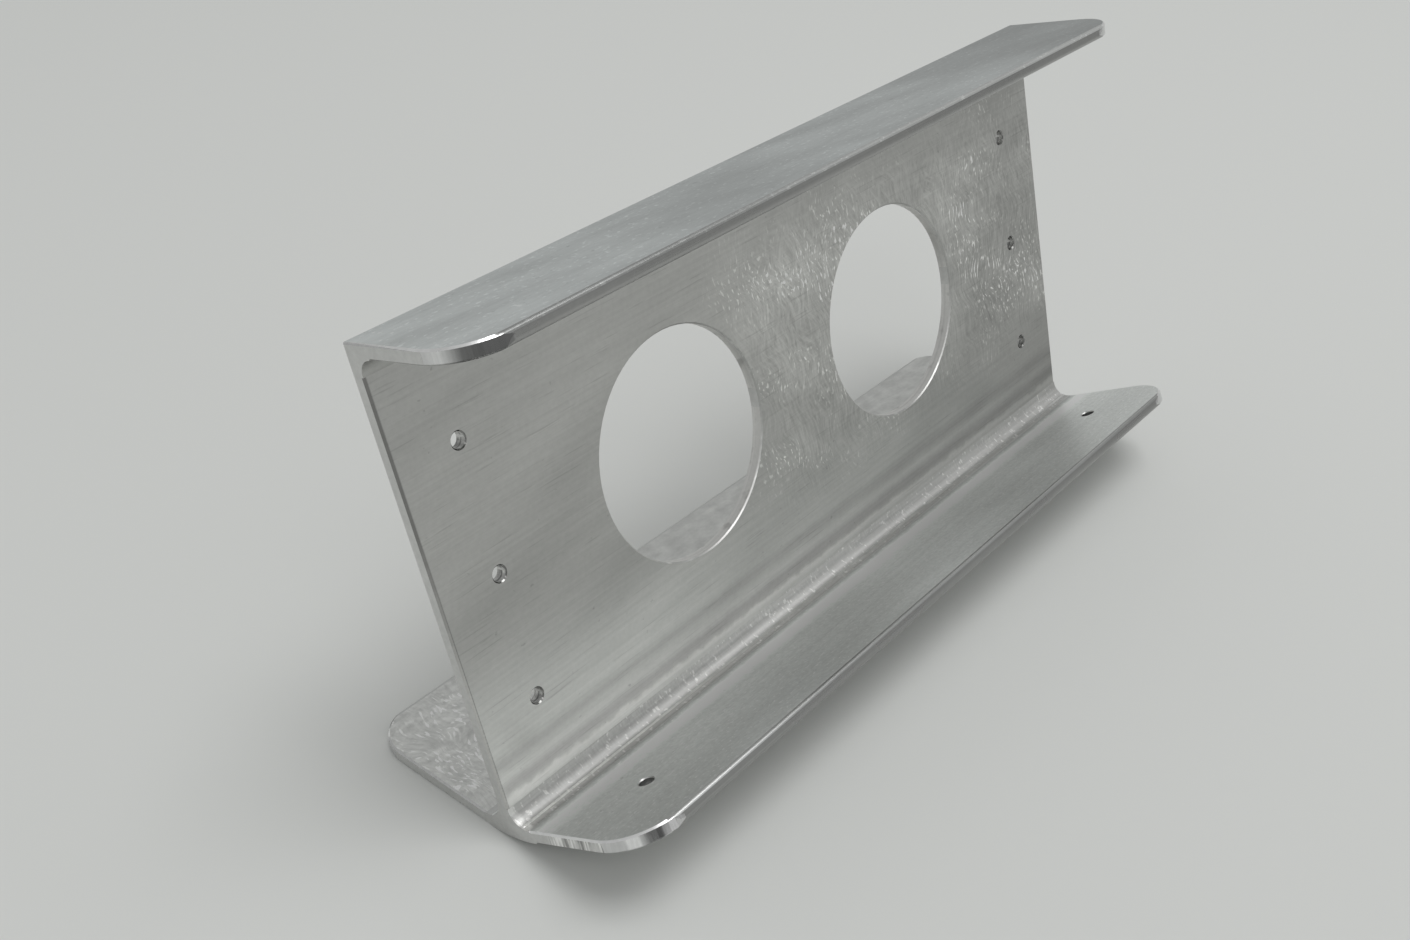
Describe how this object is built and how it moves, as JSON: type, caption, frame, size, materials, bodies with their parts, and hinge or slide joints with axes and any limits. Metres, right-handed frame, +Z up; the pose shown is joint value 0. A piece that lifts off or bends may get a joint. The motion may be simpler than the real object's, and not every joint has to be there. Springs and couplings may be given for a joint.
{
  "type": "instrument panel bracket",
  "caption": "One-piece machined aluminium bracket: a leaning web with large dial holes and small screw holes, a top flange, a raised front flange and a rear foot with rounded corners",
  "frame": {"origin": "the middle of the foot's flat underside, where it rests", "axes": "+X along the part, +Z up, -Y to the front, where the front flange and the top flange point"},
  "size_m": [0.226, 0.0802, 0.1134],
  "materials": {
    "aluminium": "bare, satin, fine lines along the length with light sanding swirls round the holes"
  },
  "bodies": {
    "root": {"panel_bracket": "aluminium"}
  },
  "joints": []
}
